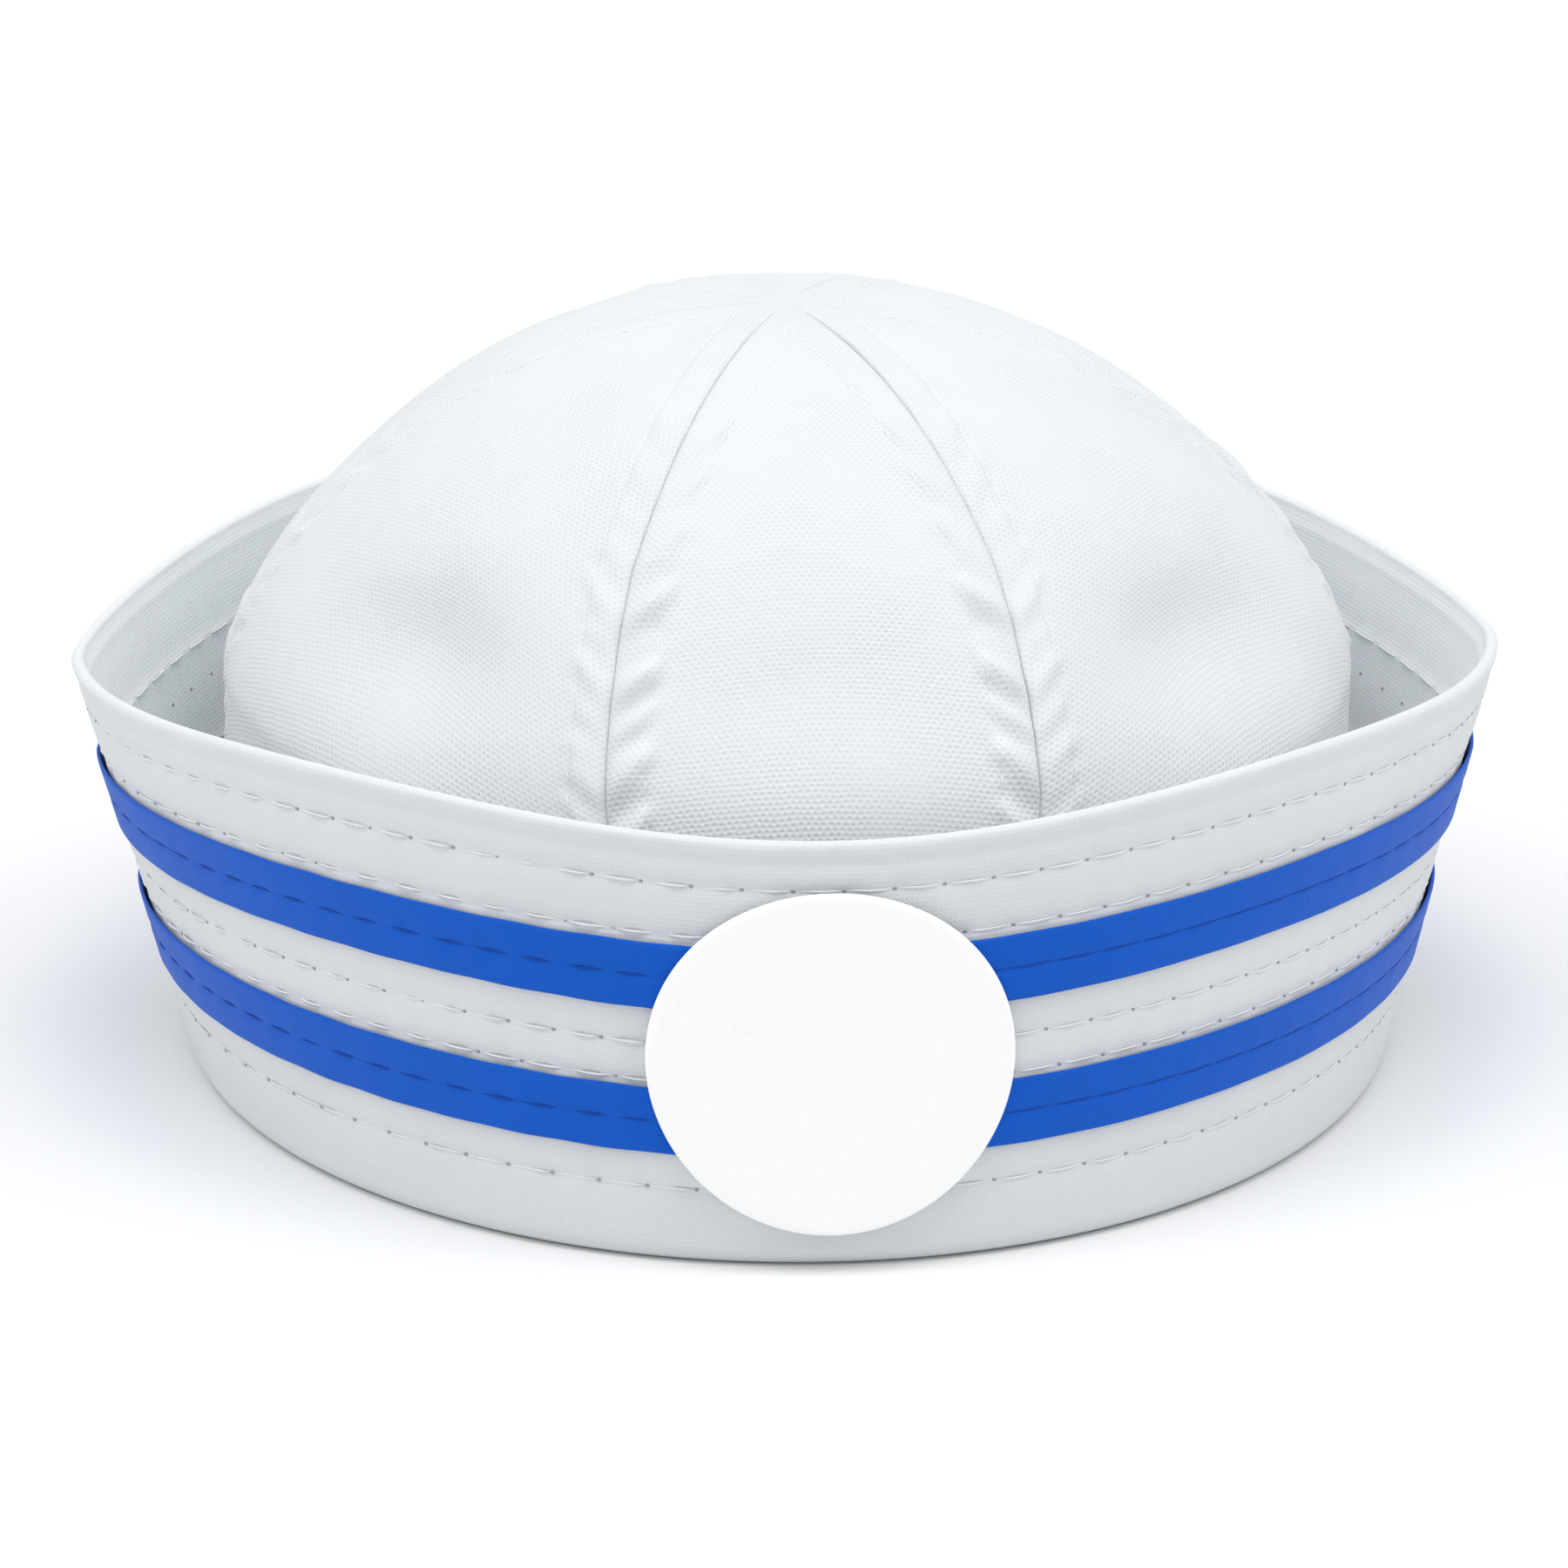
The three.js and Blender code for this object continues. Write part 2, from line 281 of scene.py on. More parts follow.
def seam_azimuth(seam, side, rise):
    at_brim, at_top = seams[seam]
    share = np.clip((rise - 1) / seam_turn_share, 0, 1)
    return side * (at_brim + (at_top - at_brim) * share) * DEGREE


def arc_per_turn(azimuth, rise):
    """Millimetres of cloth across for each radian of azimuth."""
    across = np.hypot(crown_half_width * np.cos(azimuth), crown_half_depth * np.sin(azimuth))
    return across * crown_reach(rise)


def seam_relief(distance, height, strength, seed):
    """Relief of one gore beside one of its seams."""
    inside = np.clip(distance / topstitch_offset, 0, 1.4)
    window = np.sin(math.pi * np.clip(inside / 1.25, 0, 1)) ** 0.8
    past_stitches = distance - topstitch_offset
    allowance, edge_softness = allowance_edge
    relief = -hollow(distance, seam_groove)
    relief += allowance / (1 + np.exp((past_stitches - 0.6) / edge_softness))
    relief -= hollow(past_stitches, topstitch_groove)
    for crest, rise, half_width in puckers:
        slanted = height - crest - pucker_slant * (distance - topstitch_offset / 2)
        relief += strength * rise * bump(slanted, half_width) * window
    wrinkle, wrinkle_length = fine_wrinkles
    pull, pull_width = crown_stitch_pull
    fine = np.sin(2 * math.pi * (height - wrinkle_slant * distance) / wrinkle_length + seed)
    finer = np.sin(2 * math.pi * height / crown_stitch_pitch + seed)
    relief += wrinkle * fine * window + pull * finer * bump(past_stitches, pull_width)
    return relief


gores = {
    "gore_front": ("front", -1, "front", 1),
    "gore_front_right": ("front", 1, "side", 1),
    "gore_back_right": ("side", 1, "rear", 1),
    "gore_back": ("rear", 1, "rear", -1),
    "gore_back_left": ("rear", -1, "side", -1),
    "gore_front_left": ("side", -1, "front", -1),
}


def gore_edges(gore, rise):
    first, first_side, last, last_side = gores[gore]
    start = seam_azimuth(first, first_side, rise)
    end = seam_azimuth(last, last_side, rise)
    return start, np.where(end < start, end + 2 * math.pi, end)


def gore_surface(gore, azimuth, rise):
    start, end = gore_edges(gore, rise)
    scale = arc_per_turn(azimuth, rise)
    height = crown_height(rise)
    strength = 1.0 if gore in ("gore_front", "gore_back") else side_pucker_strength
    seed = list(gores).index(gore)
    relief = seam_relief((azimuth - start) * scale, height, strength, seed)
    relief = relief + seam_relief((end - azimuth) * scale, height, strength, seed + 0.5)
    wave, wave_length = crown_waves
    relief = relief + wave * soft_waves(azimuth * crown_mean_radius, height, 11 + seed, wave_length)
    relief = relief * np.clip((2 - rise) / peak_fade, 0, 1)
    normal = outward(crown_surface, azimuth, rise)
    return crown_surface(azimuth, rise) + normal * relief[..., None]


def even_rises(spacing):
    """Rises at an even spacing along the crown's outline, finest above the brim."""
    fine = np.linspace(0, last_rise, 6000)
    outline = np.stack([crown_half_depth * crown_reach(fine), crown_height(fine)], axis=-1)
    steps = np.linalg.norm(np.diff(outline, axis=0), axis=1)
    length = np.concatenate([[0], np.cumsum(steps)])
    hidden = length[np.searchsorted(fine, hidden_rise)]
    low = np.linspace(0, hidden, hidden_rows)[:-1]
    high = np.arange(hidden, length[-1], spacing)
    rises = np.interp(np.concatenate([low, high, length[-1:]]), length, fine)
    to_peak = length[-1] - np.interp(rises, fine, length)
    return rises, to_peak + 0.5


# Brim. Share 0 is level with the middle of the fold and share 1 is the rim.

def rim(azimuth):
    off = (azimuth / DEGREE + 180) % 360 - 180
    from_side = np.abs(np.abs(off) - 90) * DEGREE
    corner = corner_reach * np.exp(-(from_side / corner_half_angle) ** corner_sharpness)
    frontness = (1 + np.cos(azimuth)) / 2
    half_depth = rim_rear + (rim_front - rim_rear) * frontness
    height = rim_height - brim_thickness / 2
    for count, share in rim_waves:
        height = height + share * rim_height * np.cos(count * azimuth)
    return ellipse(azimuth, rim_half_width + corner, half_depth, height)


def fold(azimuth):
    return ellipse(azimuth, fold_half_width, fold_half_depth, fold_radius)


def brim_plain(azimuth, share):
    share = np.asarray(share)[..., None]
    return fold(azimuth) * (1 - share) + rim(azimuth) * share


def brim_relief(azimuth, share, rows=brim_stitch_shares):
    """Quilting between the stitch rows, their grooves and small puckers, and soft waves."""
    along = azimuth * brim_mean_radius
    height = share * wall_height
    broad, broad_length = brim_broad_waves
    short, short_length = brim_short_waves
    relief = broad * soft_waves(along, height, 5, broad_length)
    relief = relief + short * soft_waves(along, height * 0.3, 6, short_length)
    pull, pull_width = brim_stitch_pull
    for row in rows:
        away = height - row * wall_height
        relief = relief + pull * np.cos(2 * math.pi * along / brim_stitch_pitch) * bump(away, pull_width)
        relief = relief - hollow(away, brim_stitch_groove) - hollow(away, brim_quilting)
    bed_depth, bed_width = ribbon_bed
    for ribbon in (upper_ribbon_share, lower_ribbon_share):
        relief = relief - bed_depth * bump(height - ribbon * wall_height, bed_width) ** 0.5
    below_rim = wall_height - height
    relief = relief - hollow(below_rim - rim_roll_width, rim_roll_groove)
    fade_at_rim = np.clip((1.02 - share) / 0.04, 0, 1)
    fade_at_fold = np.clip((share + 0.02) / 0.08, 0, 1)
    return relief * fade_at_rim * fade_at_fold


def brim_surface(azimuth, share, lift=0.0):
    azimuth, share = np.broadcast_arrays(azimuth, share)
    normal = outward(brim_plain, azimuth, share)
    return brim_plain(azimuth, share) + normal * (brim_relief(azimuth, share) + lift)[..., None]


def brim_smooth(azimuth, share, lift):
    azimuth, share = np.broadcast_arrays(azimuth, share)
    normal = outward(brim_plain, azimuth, share)
    return brim_plain(azimuth, share) + normal * np.asarray(lift)[..., None]


def wall_rows(spacing):
    """Shares up the brim's wall, closer together at the stitch rows and on them."""
    rows = set()
    for row in brim_stitch_shares:
        rows.update(row * wall_height + step for step in stitch_row_steps)
    rows.update(wall_height - rim_roll_width + step for step in rim_roll_steps)
    for height in np.arange(0, wall_height, spacing):
        if min(abs(height - row) for row in rows) > least_row_gap:
            rows.add(height)
    rows.update((0, wall_height))
    return np.array(sorted(rows)) / wall_height


def brim_inside(azimuth, share):
    depth = inner_relief_share * brim_relief(azimuth, share, inner_stitch_shares) - brim_thickness
    return brim_smooth(azimuth, share, depth)


# Mesh making

def build_mesh(name, points, faces, uv=None):
    mesh = bpy.data.meshes.new(name)
    mesh.from_pydata((points * METRES).tolist(), [], faces.tolist())
    if uv is not None:
        mesh.uv_layers.new(name="Cloth").data.foreach_set("uv", uv.ravel())
    mesh.polygons.foreach_set("use_smooth", np.ones(len(mesh.polygons), dtype=bool))
    mesh.validate()
    mesh.update()
    piece = bpy.data.objects.new(name, mesh)
    bpy.context.collection.objects.link(piece)
    return piece


def skin(name, points, uv, ring):
    """A closed body from points[column, section], whose sections close on themselves."""
    columns, sections = points.shape[:2]
    spans = columns if ring else columns - 1
    column, section = np.meshgrid(np.arange(spans), np.arange(sections), indexing="ij")
    column, section = column.ravel(), section.ravel()
    ahead, above = (column + 1) % columns, (section + 1) % sections
    faces = np.stack([
        column * sections + section,
        ahead * sections + section,
        ahead * sections + above,
        column * sections + above,
    ], axis=-1)
    corners = np.stack([
        uv[column, section],
        uv[column + 1, section],
        uv[column + 1, section + 1],
        uv[column, section + 1],
    ], axis=1)
    if not ring:
        index = np.arange(sections // 2 - 1)
        first = np.stack([index, index + 1, sections - 2 - index, sections - 1 - index], axis=-1)
        last = first[:, ::-1] + (columns - 1) * sections
        faces = np.concatenate([faces, first, last])
        corners = np.concatenate([corners, np.zeros((2 * len(index), 4, 2))])
    return build_mesh(name, points.reshape(-1, 3), faces, corners)


def weld(piece):
    """Joins corners that lie on each other, such as those at the middle of a disc."""
    mesh = bmesh.new()
    mesh.from_mesh(piece.data)
    bmesh.ops.remove_doubles(mesh, verts=mesh.verts, dist=weld_distance * METRES)
    mesh.to_mesh(piece.data)
    mesh.free()


def running_length(points, axis, closed):
    steps = np.linalg.norm(np.diff(points, axis=axis), axis=-1)
    start = np.zeros_like(np.take(steps, [0], axis=axis))
    length = np.concatenate([start, np.cumsum(steps, axis=axis)], axis=axis)
    if closed:
        first, last = np.take(points, [0], axis=axis), np.take(points, [-1], axis=axis)
        gap = np.linalg.norm(first - last, axis=-1)
        length = np.concatenate([length, np.take(length, [-1], axis=axis) + gap], axis=axis)
    return length


def stitch_frames(path, normals, positions):
    """Points, directions and normals at given lengths along a path."""
    length = running_length(path, 0, False)
    look_ahead = 0.2

    def at(places, values):
        return np.stack([np.interp(places, length, values[:, k]) for k in range(3)], axis=-1)

    point = at(positions, path)
    along = at(positions + look_ahead, path) - at(positions - look_ahead, path)
    along /= np.linalg.norm(along, axis=-1, keepdims=True)
    normal = at(positions, normals)
    normal /= np.linalg.norm(normal, axis=-1, keepdims=True)
    return point, along, normal


def thread_row(name, path, normals, pitch, thread):
    """Thread stitches along a path, each a short rounded strand that dips in at both ends."""
    bare, width, stand, dip = thread
    total = running_length(path, 0, False)[-1]
    count = int(total // pitch)
    samples, sides = 9, 8
    share = np.linspace(0, 1, samples)
    starts = np.arange(count) * pitch + bare / 2
    positions = starts[:, None] + share * (pitch - bare)
    point, along, normal = stitch_frames(path, normals, positions)
    side = np.cross(normal, along)
    swell = np.sin(math.pi * np.clip(share, 0.02, 0.98)) ** 0.45
    angle = np.arange(sides) * 2 * math.pi / sides
    end_width, flatness = 0.45, 0.42
    spread = width / 2 * np.cos(angle)[None, :] * (end_width + (1 - end_width) * swell)[:, None]
    lift = (stand * swell - dip * (1 - swell))[:, None] + width * flatness * np.sin(angle)[None, :]
    rings = point[:, :, None] + side[:, :, None] * spread[..., None]
    rings = rings + normal[:, :, None] * lift[..., None]
    base = np.arange(count)[:, None, None] * samples * sides
    ring, turn = np.meshgrid(np.arange(samples - 1), np.arange(sides), indexing="ij")
    after = (turn + 1) % sides
    quads = np.stack([
        ring * sides + turn,
        ring * sides + after,
        (ring + 1) * sides + after,
        (ring + 1) * sides + turn,
    ], axis=-1).reshape(1, -1, 4)
    start_cap = np.array([[0, 7, 6, 5], [0, 5, 4, 3], [0, 3, 2, 1]])[None]
    end_cap = (samples - 1) * sides + np.array([[0, 1, 2, 3], [0, 3, 4, 5], [0, 5, 6, 7]])[None]
    faces = np.concatenate([quads, start_cap, end_cap], axis=1) + base
    return build_mesh(name, rings.reshape(-1, 3), faces.reshape(-1, 4))


def needle_hole_shade_discs(name, path, normals, pitch, radius):
    """Small dark grey discs on the cloth where one stitch ends and the next begins: painted shade in place
    of the needle holes.
    """
    sides = 8
    stretch, edge_lift, middle_lift, depth = 1.3, 0.08, 0.13, 0.10
    total = running_length(path, 0, False)[-1]
    positions = np.arange(int(total // pitch) + 1) * pitch
    point, along, normal = stitch_frames(path, normals, np.minimum(positions, total - 0.1))
    side = np.cross(normal, along)
    angle = np.arange(sides) * 2 * math.pi / sides
    disc = along[:, None] * (stretch * radius * np.cos(angle))[None, :, None]
    disc = disc + side[:, None] * (radius * np.sin(angle))[None, :, None]
    edge_points = point[:, None] + disc + normal[:, None] * edge_lift
    middle = (point + normal * middle_lift)[:, None]
    below = (point - normal * depth)[:, None]
    points = np.concatenate([edge_points, middle, below], axis=1)
    here, after = np.arange(sides), (np.arange(sides) + 1) % sides
    fan = np.stack([here, after, np.full(sides, sides)], axis=-1)
    under = np.stack([after, here, np.full(sides, sides + 1)], axis=-1)
    fans = np.concatenate([fan, under])
    faces = fans[None] + np.arange(len(positions))[:, None, None] * (sides + 2)
    return build_mesh(name, points.reshape(-1, 3), faces.reshape(-1, 3))


# Materials

def new_material(name, color, roughness):
    material = bpy.data.materials.new(name)
    material.use_nodes = True
    nodes = material.node_tree.nodes
    shader = nodes["Principled BSDF"]
    shader.inputs["Base Color"].default_value = (*color, 1)
    shader.inputs["Roughness"].default_value = roughness
    shader.inputs["Specular IOR Level"].default_value = 0.15
    return material, nodes, material.node_tree.links, shader


def math_node(nodes, links, operation, first, second=None):
    node = nodes.new("ShaderNodeMath")
    node.operation = operation
    for index, value in enumerate((first, second)):
        if value is None:
            continue
        if isinstance(value, (int, float)):
            node.inputs[index].default_value = value
        else:
            links.new(value, node.inputs[index])
    return node.outputs[0]


def color_ramp(nodes, links, amount, low_place, high_place, color, tint):
    """Base colour that runs from a tint of a colour to the colour itself."""
    ramp = nodes.new("ShaderNodeValToRGB")
    low, high = ramp.color_ramp.elements
    low.color = (*[c * tint for c in color], 1)
    high.color = (*color, 1)
    low.position = low_place
    high.position = high_place
    links.new(amount, ramp.inputs["Fac"])
    return ramp.outputs["Color"]


def bump_normal(nodes, links, height, depth):
    relief = nodes.new("ShaderNodeBump")
    relief.inputs["Distance"].default_value = depth * METRES
    relief.inputs["Strength"].default_value = 1.0
    links.new(height, relief.inputs["Height"])
    return relief.outputs["Normal"]


def weave_height(nodes, links, pitches, turn):
    """Plain weave from the cloth's own flat coordinates: small pits in staggered rows."""
    uv = nodes.new("ShaderNodeUVMap")
    uv.uv_map = "Cloth"
    turned = nodes.new("ShaderNodeMapping")
    turned.inputs["Rotation"].default_value = (0, 0, turn)
    links.new(uv.outputs["UV"], turned.inputs["Vector"])
    wander = nodes.new("ShaderNodeTexNoise")
    wander.inputs["Scale"].default_value = 0.35
    links.new(turned.outputs["Vector"], wander.inputs["Vector"])
    parts = nodes.new("ShaderNodeSeparateXYZ")
    links.new(turned.outputs["Vector"], parts.inputs["Vector"])
    most_drift, most_openness = 2.2, 0.95
    drift = math_node(nodes, links, "MULTIPLY", wander.outputs["Fac"], most_drift)
    waves = []
    for axis, pitch in zip(("X", "Y"), pitches):
        place = math_node(nodes, links, "DIVIDE", parts.outputs[axis], pitch / math.pi)
        waves.append(math_node(nodes, links, "SINE", math_node(nodes, links, "ADD", place, drift)))
    crossings = math_node(nodes, links, "MULTIPLY", waves[0], waves[1])
    rows = math_node(nodes, links, "MULTIPLY", waves[1], waves[1])
    patches = nodes.new("ShaderNodeTexNoise")
    patches.inputs["Scale"].default_value = 0.045
    links.new(uv.outputs["UV"], patches.inputs["Vector"])
    openness = math_node(nodes, links, "MULTIPLY", patches.outputs["Fac"], most_openness)
    pits = math_node(nodes, links, "MULTIPLY", math_node(nodes, links, "ADD", crossings, rows), openness)
    return math_node(nodes, links, "SUBTRACT", 1, pits), uv


def cloth_material(name, color, pitches, turn, depth, tint):
    material, nodes, links, shader = new_material(name, color, 0.9)
    shader.inputs["Sheen Weight"].default_value = 0.15
    shader.inputs["Sheen Roughness"].default_value = 0.5
    height, uv = weave_height(nodes, links, pitches, turn)
    slub = nodes.new("ShaderNodeTexNoise")
    slub.inputs["Scale"].default_value = 0.9
    slub.inputs["Detail"].default_value = 6
    links.new(uv.outputs["UV"], slub.inputs["Vector"])
    slub_height = 0.8
    rough = math_node(nodes, links, "MULTIPLY", slub.outputs["Fac"], slub_height)
    total = math_node(nodes, links, "ADD", height, rough)
    links.new(bump_normal(nodes, links, total, depth), shader.inputs["Normal"])
    # The weave's pits are painted darker than the threads: painted shade.
    links.new(color_ramp(nodes, links, height, 0.1, 0.8, color, tint), shader.inputs["Base Color"])
    return material


def grained_material(name, color, roughness, grain, depth, tint):
    """A fine irregular surface, with its grain and depth in millimetres."""
    material, nodes, links, shader = new_material(name, color, roughness)
    place = nodes.new("ShaderNodeTexCoord")
    noise = nodes.new("ShaderNodeTexNoise")
    noise.inputs["Scale"].default_value = 1 / (grain * METRES)
    noise.inputs["Detail"].default_value = 4
    links.new(place.outputs["Object"], noise.inputs["Vector"])
    amount = noise.outputs["Fac"]
    links.new(bump_normal(nodes, links, amount, depth), shader.inputs["Normal"])
    links.new(color_ramp(nodes, links, amount, 0.3, 0.7, color, tint), shader.inputs["Base Color"])
    return material, shader


cotton_color = (0.695, 0.722, 0.74)
# The brim's inside gets a lighter copy of the cotton's colour: painted light for the light that reaches
# inside the brim.
inside_painted_light_color = (0.87, 0.90, 0.92)
ribbon_color = (0.003, 0.10, 0.56)
blue_thread_color = (0.010, 0.06, 0.34)
patch_color = (0.99, 0.99, 0.99)
white_thread_color = (0.82, 0.83, 0.84)
# Needle holes are drawn as small dark grey discs: painted shade.
hole_painted_shade_color = (0.40, 0.41, 0.42)

# For the woven cloths, tint is how much darker the weave's pits are painted: painted shade.
crown_weave = {"pitches": (0.55, 0.80), "turn": 0.0, "depth": 0.08, "tint": 0.935}
brim_weave = {"pitches": (0.50, 0.50), "turn": math.pi / 4, "depth": 0.035, "tint": 0.97}
satin_weave = {"pitches": (0.40, 0.40), "turn": 0.6, "depth": 0.04, "tint": 0.85}
disc_grain = {"roughness": 0.5, "grain": 0.9, "depth": 0.05, "tint": 0.975}
thread_grain = {"roughness": 0.6, "grain": 0.12, "depth": 0.03}

crown_cotton = cloth_material("crown cotton", cotton_color, **crown_weave)
brim_cotton = cloth_material("brim cotton", cotton_color, **brim_weave)
# Lighter copy of the brim cotton for the brim's inside: painted light.
brim_inside_painted_light = cloth_material("brim inside cotton painted lighter", inside_painted_light_color, **brim_weave)
ribbon_weave = cloth_material("blue ribbon", ribbon_color, **satin_weave)
patch_face, patch_shader = grained_material("patch face", patch_color, **disc_grain)
patch_shader.inputs["Specular IOR Level"].default_value = 0.5
white_thread, _ = grained_material("white thread", white_thread_color, tint=0.9, **thread_grain)
blue_thread, _ = grained_material("dark blue thread", blue_thread_color, tint=0.8, **thread_grain)
# Material of the needle hole discs: painted shade.
hole_shade, _ = grained_material(
    "needle hole painted shade", hole_painted_shade_color, roughness=0.95, grain=0.12, depth=0.03, tint=0.9
)


def dress(piece, material, slot, *nodes):
    piece.data.materials.append(material)
    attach(piece, "root")
    if nodes:
        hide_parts(*nodes)


# Crown gores

def make_gore(gore):
    least_scale, seam_band_reach = 0.05, 2.5
    rises, to_peak = even_rises(gore_row_spacing)
    start, end = gore_edges(gore, rises[None, :])
    scale = np.maximum(arc_per_turn((start + end) / 2, rises[None, :]), least_scale)
    width = (end - start) * scale
    squeeze = np.minimum(1, width / (seam_band_reach * seam_steps[-1]))
    near = np.array(seam_steps)[:, None] * squeeze + seam_inset * squeeze
    middle = int((width.max() - 2 * seam_steps[-1]) / gore_column_spacing)
    share = np.linspace(0, 1, middle + 2)[1:-1, None]
    between = near[-1:] + (width - 2 * near[-1:]) * share
    across = np.concatenate([near, between, width - near[::-1]])
    azimuth = start + across / scale
    rise = np.broadcast_to(rises, azimuth.shape)
    outside = gore_surface(gore, azimuth, rise)
    inside = outside - outward(crown_surface, azimuth, rise) * cloth_thickness
    points = np.concatenate([outside, inside[:, ::-1]], axis=1)
    across = (azimuth - (start + end) / 2) * arc_per_turn(azimuth, rise)
    turn = across / to_peak
    flat = np.stack([to_peak * np.sin(turn), -to_peak * np.cos(turn)], axis=-1)
    uv = np.concatenate([flat, flat[:, ::-1], flat[:, :1]], axis=1)
    piece = skin(f"{gore}_cloth", points, uv, False)
    dress(piece, crown_cotton, "cotton", gore)


def make_topstitch(gore, at_start):
    least_offsets_between = 2.3
    rises = np.linspace(*topstitch_rises, topstitch_samples)
    start, end = gore_edges(gore, rises)
    edge = start if at_start else end
    side = 1 if at_start else -1
    azimuth = edge + side * topstitch_offset / np.maximum(arc_per_turn(edge, rises), 1)
    width = (end - start) * arc_per_turn(edge, rises)
    room = width > least_offsets_between * topstitch_offset
    azimuth, rises = azimuth[room], rises[room]
    path = gore_surface(gore, azimuth, rises)
    normals = outward(crown_surface, azimuth, rises)
    name = f"{gore}_topstitch_{'a' if at_start else 'b'}"
    dress(thread_row(name, path, normals, crown_stitch_pitch, crown_thread), white_thread, "cotton")


for gore_name in gores:
    make_gore(gore_name)
    make_topstitch(gore_name, True)
    make_topstitch(gore_name, False)


# Brim

def make_brim():
    azimuth = np.linspace(0, 2 * math.pi, brim_columns, endpoint=False)[:, None]
    away = ellipse_outward(azimuth, fold_half_width, fold_half_depth)
    hem_away = ellipse_outward(azimuth, crown_half_width, crown_half_depth)

    def near_fold(inset, height):
        return ellipse(azimuth, fold_half_width, fold_half_depth, height) - away * inset[..., None]

    def near_hem(inset, height):
        edge = ellipse(azimuth, crown_half_width, crown_half_depth, height)
        return edge - hem_away * inset[..., None]

    to_rim = rim(azimuth) - fold(azimuth)
    lean = np.arctan2(np.sum(to_rim * away, axis=-1), to_rim[..., 2])
    angle = -math.pi / 2 + (math.pi / 2 - lean) * np.linspace(0, 1, fold_steps)[None, :]
    fold_arc = near_fold(fold_radius * (1 - np.cos(angle)), fold_radius * (1 + np.sin(angle)))
    wall_shares = wall_rows(outer_row_spacing)[None, 1:]
    outer = brim_surface(azimuth, wall_shares)
    upward = to_rim / np.linalg.norm(to_rim, axis=-1, keepdims=True)
    top = np.ones_like(azimuth)
    rim_out = outward(brim_plain, azimuth, top)
    middle = brim_smooth(azimuth, top, -brim_thickness / 2 * top)
    turn = np.linspace(0, math.pi, rim_steps)[None, 1:-1]
    edge = middle + rim_out * (brim_thickness / 2 * np.cos(turn))[..., None]
    edge = edge + upward * (brim_thickness / 2 * np.sin(turn))[..., None]
    inner_shares = wall_rows(inner_row_spacing)[::-1][None, :-2]
    inner = brim_inside(azimuth, inner_shares)
    flat = np.zeros_like(azimuth)
    floor_width = 2
    floor_line = np.array([[fold_radius, brim_thickness], [fold_radius + floor_width, brim_thickness]])
    channel = near_fold(floor_line[None, :, 0] + flat, floor_line[None, :, 1] + flat)
    # Inset and height of the inner hem's corners, up its outside, over its edge and down its inside
    thick = cloth_thickness
    hem_line = np.array([
        [0.0, brim_thickness],
        [0.0, hem_height - 0.6],
        [0.3, hem_height],
        [thick - 0.3, hem_height],
        [thick, hem_height - 0.6],
        [thick, 1.2],
        [thick - 0.5, 0.35],
        [thick - 1.3, 0.0],
    ])
    hem = near_hem(hem_line[None, :, 0] + flat, hem_line[None, :, 1] + flat)
    points = np.concatenate([fold_arc, outer, edge, inner, channel, hem], axis=1)
    around = running_length(brim_plain(azimuth[:, 0], np.full(len(azimuth), 0.5)), 0, True)
    section = running_length(points[:1], 1, True)[0]
    uv = np.stack(np.broadcast_arrays(around[:, None], section[None, :]), axis=-1)
    brim = skin("brim_cloth", points, uv, True)
    dress(brim, brim_cotton, "cotton", "brim")
    # The inner wall and channel take the lighter copy of the cotton: painted light inside the brim.
    brim.data.materials.append(brim_inside_painted_light)
    painted_light_start = fold_arc.shape[1] + outer.shape[1] + edge.shape[1]
    painted_light_end = painted_light_start + inner.shape[1] + channel.shape[1]
    row = np.arange(len(brim.data.polygons)) % points.shape[1]
    painted_light_faces = (row >= painted_light_start) & (row < painted_light_end)
    brim.data.polygons.foreach_set("material_index", painted_light_faces.astype(np.int32))


def ring_path(share, inner):
    azimuth = np.linspace(-math.pi, math.pi, ring_samples)
    shares = np.full_like(azimuth, share)
    normal = outward(brim_plain, azimuth, shares)
    if inner:
        return brim_inside(azimuth, shares), -normal
    return brim_surface(azimuth, shares), normal


def make_brim_row(share, inner, thread, shade_discs):
    path, normals = ring_path(share, inner)
    name = f"brim_row_{round(share * 1000)}_{'inside' if inner else 'outside'}"
    if thread:
        row = thread_row(f"{name}_thread", path, normals, brim_stitch_pitch, brim_thread)
        dress(row, white_thread, "cotton")
    # Dark grey discs at the stitch ends: painted shade for the needle holes.
    if shade_discs:
        row = needle_hole_shade_discs(f"{name}_hole_shade", path, normals, brim_stitch_pitch, needle_hole_radius)
        dress(row, hole_shade, "cotton")


make_brim()
for stitch_share in brim_stitch_shares:
    make_brim_row(stitch_share, False, True, True)
for stitch_share in inner_stitch_shares:
    make_brim_row(stitch_share, True, True, False)
for stitch_share in (upper_ribbon_share, lower_ribbon_share):
    make_brim_row(stitch_share, True, False, True)


# Ribbons

def ribbon_face(azimuth, offset, share, lift):
    length = np.linalg.norm(rim(azimuth) - fold(azimuth), axis=-1)
    wave, wave_length = ribbon_edge_waves
    along = azimuth * brim_mean_radius
    drift = wave * soft_waves(along, 0 * azimuth, 31, wave_length) * np.sign(offset)
    return brim_smooth(azimuth, share + (offset + drift) / length, lift)


def ribbon_relief(azimuth, offset, seed):
    along = azimuth * brim_mean_radius
    wave, wave_length = ribbon_waves
    pull, pull_width = ribbon_pull
    pulled = pull * np.cos(2 * math.pi * along / brim_stitch_pitch) * bump(offset, pull_width)
    return wave * soft_waves(along, offset, seed, wave_length) + pulled - hollow(offset, ribbon_groove)


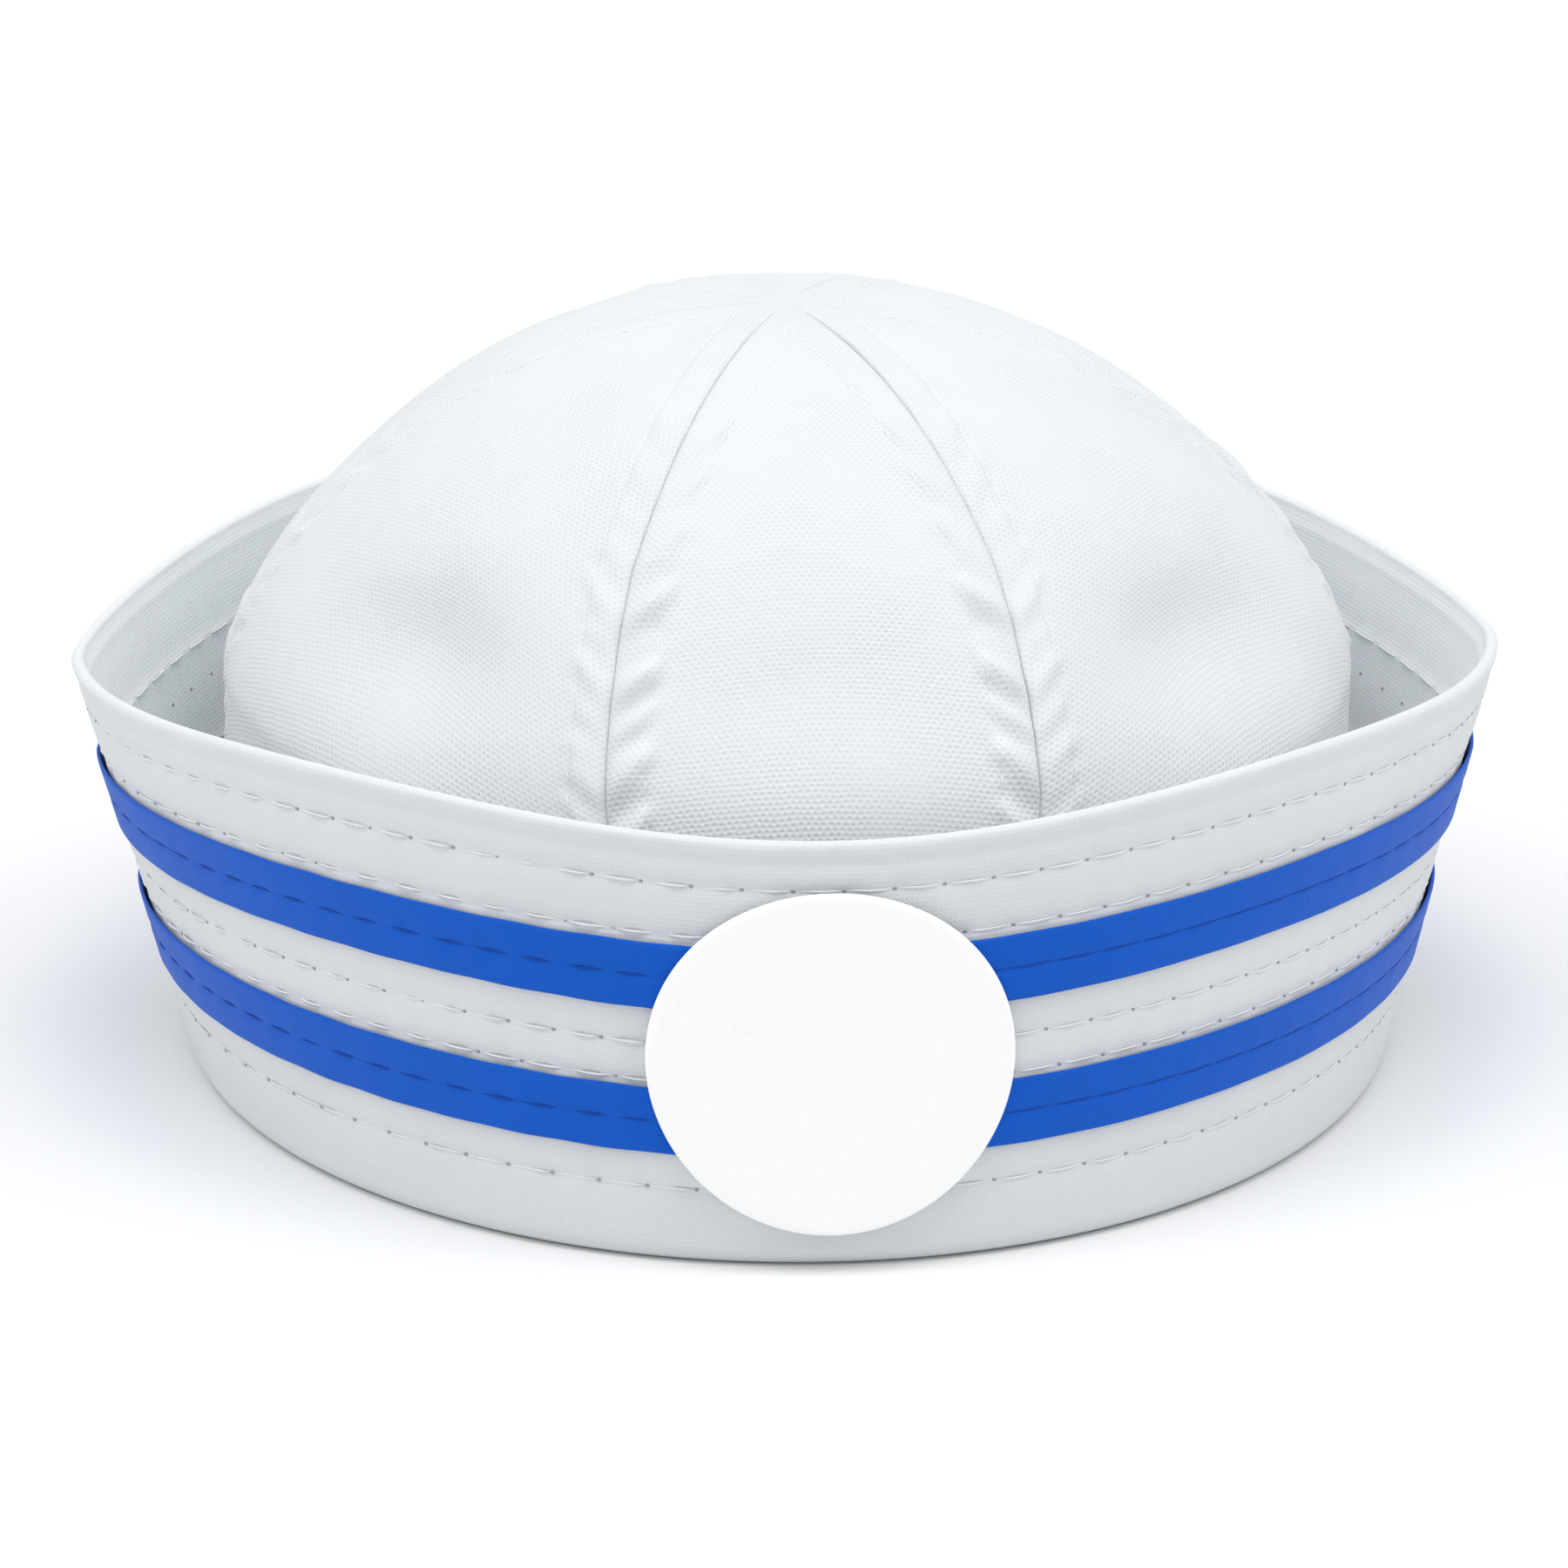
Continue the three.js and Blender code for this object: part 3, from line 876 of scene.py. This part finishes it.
def make_ribbon(name, share, seed):
    azimuth = np.linspace(0, 2 * math.pi, ribbon_columns, endpoint=False)[:, None]
    half = ribbon_width / 2
    edge_width, edge_thickness = 0.35, 0.2
    across = half * np.sin(np.linspace(-math.pi / 2, math.pi / 2, ribbon_rows))[None, :] + 0 * azimuth
    edge = np.clip((half - np.abs(across)) / edge_width, 0, 1) ** 0.5
    top = ribbon_lift + edge_thickness + (ribbon_thickness - edge_thickness) * edge
    top = top + ribbon_relief(azimuth, across, seed) * edge
    outer = ribbon_face(azimuth, across, share, top)
    inner = ribbon_face(azimuth, across[:, ::-1], share, 0 * across + ribbon_lift)
    points = np.concatenate([outer, inner], axis=1)
    around = running_length(outer[:, ribbon_rows // 2], 0, True)
    section = running_length(points[:1], 1, True)[0]
    uv = np.stack(np.broadcast_arrays(around[:, None], section[None, :]), axis=-1)
    dress(skin(f"{name}_weave", points, uv, True), ribbon_weave, "ribbon", name)
    turn = np.linspace(-math.pi, math.pi, ring_samples)
    middle = np.zeros_like(turn)
    lift = ribbon_lift + ribbon_thickness + ribbon_relief(turn, middle, seed)
    path = ribbon_face(turn, middle, share, lift)
    normals = outward(brim_plain, turn, np.full_like(turn, share))
    stitches = thread_row(f"{name}_stitches", path, normals, brim_stitch_pitch, ribbon_thread)
    dress(stitches, blue_thread, "ribbon")


make_ribbon("ribbon_upper", upper_ribbon_share, 21)
make_ribbon("ribbon_lower", lower_ribbon_share, 22)


# Patch

def azimuth_across(across, share):
    """Azimuth near the front where the brim's wall lies a given distance to the right."""
    passes = 30
    azimuth = across / rim_half_width
    for _ in range(passes):
        azimuth = azimuth + (across - brim_plain(azimuth, share)[..., 0]) / rim_half_width
    return azimuth


def make_patch():
    turn = np.linspace(0, 2 * math.pi, patch_columns, endpoint=False)[:, None]
    rounding = np.linspace(0, math.pi, patch_edge_steps)
    edge = patch_thickness / 2
    face = np.linspace(0, patch_radius - patch_edge_margin, patch_face_rows)
    reach = np.concatenate([face, patch_radius - edge + edge * np.sin(rounding), face[::-1]])
    back_lift = np.zeros(patch_face_rows)
    front_lift = np.full(patch_face_rows, patch_thickness)
    lift = np.concatenate([back_lift, edge - edge * np.cos(rounding), front_lift])
    across = reach[None, :] * np.cos(turn)
    share = patch_share + reach[None, :] * np.sin(turn) / wall_height
    azimuth = azimuth_across(across, share)
    points = brim_smooth(azimuth, share, patch_lift + lift[None, :] + 0 * across)
    flat = np.stack([across, reach[None, :] * np.sin(turn)], axis=-1)
    uv = np.concatenate([flat, flat[:, :1]], axis=1)
    uv = np.concatenate([uv, uv[:1]], axis=0)
    disc = skin("patch_face", points, uv, True)
    weld(disc)
    dress(disc, patch_face, "patch", "patch")


make_patch()


# Floor, light and camera

def make_floor():
    corners = np.array([[-1, -1, 0], [1, -1, 0], [1, 1, 0], [-1, 1, 0]])
    floor = build_mesh("floor", corners * floor_reach, np.array([[0, 1, 2, 3]]))
    material, _, _, _ = new_material("floor", floor_color, 0.9)
    floor.data.materials.append(material)


def make_softbox(name, azimuth, tilt, spread, strength):
    """A wide even light from an azimuth about the hat, tilted down from straight above."""
    level = math.sin(tilt * DEGREE)
    x = level * math.sin(azimuth * DEGREE)
    y = -level * math.cos(azimuth * DEGREE)
    towards = Vector((x, y, math.cos(tilt * DEGREE)))
    light = bpy.data.lights.new(name, "SUN")
    light.angle = spread * DEGREE
    light.energy = strength
    lamp = bpy.data.objects.new(name, light)
    lamp.rotation_euler = towards.to_track_quat("Z", "Y").to_euler()
    bpy.context.collection.objects.link(lamp)


def make_world():
    world = bpy.data.worlds.new("studio")
    world.use_nodes = True
    background = world.node_tree.nodes["Background"]
    background.inputs["Color"].default_value = (*sky_color, 1)
    background.inputs["Strength"].default_value = sky_strength
    bpy.context.scene.world = world


def make_camera():
    distance = 1.0887
    elevation = 18.84 * DEGREE
    turn = 3.4 * DEGREE
    target = Vector((-0.00056, -0.0001, 0.0383))
    level = math.cos(elevation)
    away = Vector((-math.sin(turn) * level, -math.cos(turn) * level, math.sin(elevation)))
    camera = bpy.data.cameras.new("camera")
    camera.sensor_width = 36
    camera.lens = 156.5
    viewer = bpy.data.objects.new("camera", camera)
    viewer.location = target + away * distance
    viewer.rotation_euler = (-away).to_track_quat("-Z", "Y").to_euler()
    bpy.context.collection.objects.link(viewer)
    bpy.context.scene.camera = viewer


make_floor()
for softbox in softboxes:
    make_softbox(*softbox)
make_world()
make_camera()
bpy.context.scene.view_settings.view_transform = "Standard"
